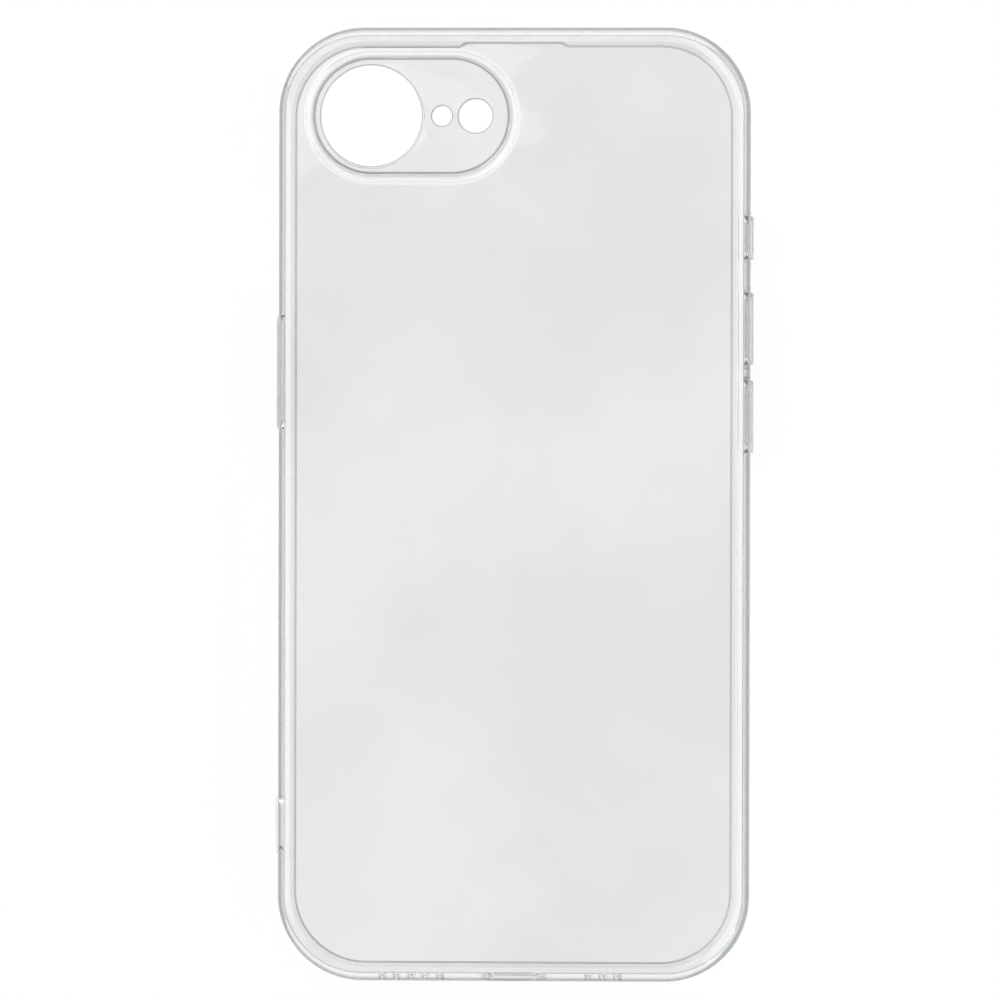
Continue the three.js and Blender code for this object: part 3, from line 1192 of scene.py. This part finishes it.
@dataclass(frozen=True)
class ButtonCover:
    """A button cover with its pusher, and the web that joins it to the frame."""

    sizes: CaseSizes
    button: ButtonPlace
    height: float = 3.4
    proud: float = 0.5
    sink: float = 0.75
    edge: float = 0.35
    crown: float = 0.08
    pusher_inset: float = 1.4
    pusher_height: float = 1.6
    pusher_reach: float = 0.2
    window_gap: float = 0.7
    web_clear: float = 0.13
    web_thickness: float = 0.3
    web_low: float = -1.0
    web_high: float = -0.35

    def place(self) -> Matrix:
        """Where the cover's own frame is on the case."""
        station, _ = self.button.pad()
        return wall_matrix(self.button.wall, station, self.sizes.middle, self.sizes.half_width)

    def cover_section(self) -> list[Station]:
        """The cover's section, from its pusher, round its edges and over its crowned face.

        The face rises from its rounded edge to its middle by the crown, as one less the square of
        the distance from the middle.

        Returns:
            The section's stations.
        """
        _, length = self.button.pad()
        pad = Stadium(length, self.height)
        pusher = Stadium(length - 2 * self.pusher_inset, self.pusher_height)
        brim = self.proud - self.crown
        reach = self.height / 2 - self.edge
        crown = [
            (pad, -self.height / 2 + reach * (1.0 - t), brim + self.crown * (1 - (1 - t) ** 2))
            for t in np.linspace(0.1, 0.97, 8)
        ]
        return [
            *quarter(pusher, -0.1, -self.sink - self.pusher_reach + 0.1, 0.1, Edge.BOTTOM_OUT, 3),
            (pusher, 0.0, -self.sink),
            *quarter(pad, -0.2, -self.sink + 0.2, 0.2, Edge.BOTTOM_OUT, 4),
            *quarter(pad, -self.edge, brim - self.edge, self.edge, Edge.OUT_TOP, 6),
            *crown,
        ]

    def web_section(self) -> list[Station]:
        """The web's section: an S-shaped skirt from the frame up to the cover, and back inside it.

        Returns:
            The section's stations.
        """
        _, length = self.button.pad()
        window = Stadium(length + 2 * self.window_gap, self.height + 2 * self.window_gap)
        width = self.window_gap - 2 * self.web_clear
        t = np.linspace(0.0, 1.0, 9)
        run = -self.web_clear - width * t
        rise = (self.web_high - self.web_low - self.web_thickness) * t * t * (3 - 2 * t)
        outer = self.web_low + self.web_thickness + rise
        inner = self.web_low + rise
        return [
            *[(window, float(g), float(z)) for g, z in zip(run, outer)],
            *[(window, float(g), float(z)) for g, z in zip(run[::-1], inner[::-1])],
        ]

    def build(self) -> list[bpy.types.Object]:
        """Builds the cover on its own body, and the web between it and the frame.

        Returns:
            The cover and the web.
        """
        name = self.button.name
        place = self.place()
        rings = station_rings(self.cover_section())
        cover = new_object(f"{name}_pad", surface_mesh(f"{name}_pad", rings, False, place))
        smooth(cover)
        dress(cover, COVER_CLEAR)
        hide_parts(f"{name}_cover")
        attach(cover, name)
        rings = station_rings(self.web_section())
        web = new_object(f"{name}_skirt", surface_mesh(f"{name}_skirt", rings, True, place))
        smooth(web)
        dress(web, SOFT_CLEAR)
        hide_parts(f"{name}_web")
        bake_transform(web)
        return [cover, web]


# ---- The studio ----


@dataclass(frozen=True)
class Softbox:
    """A square soft light that faces the middle of the case, in metres and watts."""

    name: str
    place: tuple[float, float, float]
    size: float
    power: float

    def build(self) -> None:
        """Adds the light to the scene."""
        data = bpy.data.lights.new(self.name, "AREA")
        data.shape = "SQUARE"
        data.size = self.size
        data.energy = self.power
        lamp = bpy.data.objects.new(self.name, data)
        lamp.location = self.place
        lamp.rotation_euler = (-Vector(self.place)).to_track_quat("-Z", "Y").to_euler()
        bpy.context.scene.collection.objects.link(lamp)


SOFTBOXES = (
    Softbox("left_softbox", (-1.2, 0.3, 1.3), 2.0, 13.0),
    Softbox("right_softbox", (1.2, -0.2, 1.4), 2.0, 13.0),
    Softbox("top_softbox", (0.0, 1.3, 1.5), 2.0, 13.0),
    Softbox("low_softbox", (1.0, -1.0, 0.5), 0.8, 6.0),
)


@dataclass(frozen=True)
class Studio:
    """A pale floor, soft lights and a camera nearly straight above the case."""

    sizes: CaseSizes
    distance: float = 1.2
    lean_right: float = 2.66
    lean_top: float = 0.49
    roll: float = 0.12
    lens: float = 274.2
    shift: tuple[float, float] = (-0.0148, 0.0044)
    floor_half: float = 4.0
    horizon: float = 0.3
    overhead: float = 0.45
    pale: tuple[float, float, float, float] = (0.93, 0.93, 0.93, 1.0)

    def camera(self) -> None:
        """Makes the camera, leaning from straight above the middle of the case."""
        data = bpy.data.cameras.new("camera")
        data.lens = self.lens
        data.sensor_width = 36.0
        data.shift_x, data.shift_y = self.shift
        data.clip_start = 0.01
        camera = bpy.data.objects.new("camera", data)
        bpy.context.scene.collection.objects.link(camera)
        target = Vector((0.0, 0.0, self.sizes.middle * MM))
        lean = Matrix.Rotation(math.radians(self.lean_right), 4, "Y")
        lean = lean @ Matrix.Rotation(math.radians(-self.lean_top), 4, "X")
        turn = Matrix.Rotation(math.radians(self.roll), 4, "Z")
        camera.matrix_world = (
            Matrix.Translation(target) @ lean @ Matrix.Translation((0.0, 0.0, self.distance)) @ turn
        )
        bpy.context.scene.camera = camera

    def floor(self) -> None:
        """Makes the floor that the case lies on."""
        half = self.floor_half
        mesh = bpy.data.meshes.new("floor")
        corners = [(-half, -half, 0), (half, -half, 0), (half, half, 0), (-half, half, 0)]
        mesh.from_pydata(corners, [], [(0, 1, 2, 3)])
        floor = new_object("floor", mesh)
        material = bpy.data.materials.new("paper")
        material.use_nodes = True
        shader = material.node_tree.nodes["Principled BSDF"]
        shader.inputs["Base Color"].default_value = self.pale
        shader.inputs["Roughness"].default_value = 0.9
        shader.inputs["Specular IOR Level"].default_value = 0.1
        mesh.materials.append(material)

    def world(self) -> None:
        """Makes the surround: dim at the horizon, paler overhead, and plain pale where it is seen."""
        world = bpy.data.worlds.new("surround")
        world.use_nodes = True
        nodes, links = world.node_tree.nodes, world.node_tree.links
        around = nodes["Background"]
        place = nodes.new("ShaderNodeTexCoord")
        axes = nodes.new("ShaderNodeSeparateXYZ")
        climb = nodes.new("ShaderNodeMapRange")
        climb.inputs["To Min"].default_value = self.horizon
        climb.inputs["To Max"].default_value = self.overhead
        links.new(place.outputs["Generated"], axes.inputs["Vector"])
        links.new(axes.outputs["Z"], climb.inputs["Value"])
        links.new(climb.outputs["Result"], around.inputs["Color"])
        seen = nodes.new("ShaderNodeBackground")
        seen.inputs["Color"].default_value = self.pale
        path = nodes.new("ShaderNodeLightPath")
        mix = nodes.new("ShaderNodeMixShader")
        links.new(path.outputs["Is Camera Ray"], mix.inputs["Fac"])
        links.new(around.outputs["Background"], mix.inputs[1])
        links.new(seen.outputs["Background"], mix.inputs[2])
        links.new(mix.outputs["Shader"], nodes["World Output"].inputs["Surface"])
        bpy.context.scene.world = world

    def build(self) -> None:
        """Sets up the camera, the floor, the lights and the surround."""
        self.camera()
        self.floor()
        self.world()
        for softbox in SOFTBOXES:
            softbox.build()
        bpy.context.scene.view_settings.view_transform = "Standard"


def main() -> None:
    """Builds the studio and the case, sub-assembly by sub-assembly."""
    logging.basicConfig(level=logging.INFO, format="%(name)s: %(message)s")
    sizes = CaseSizes.from_frame()
    Studio(sizes).build()
    pieces = [SoftFrame(sizes).build(), BackPlate(sizes).build(), CameraGuard(sizes).build()]
    for button in BUTTONS:
        pieces.extend(ButtonCover(sizes, button).build())
    for piece in pieces:
        report(piece)


if __name__ == "__main__":
    main()
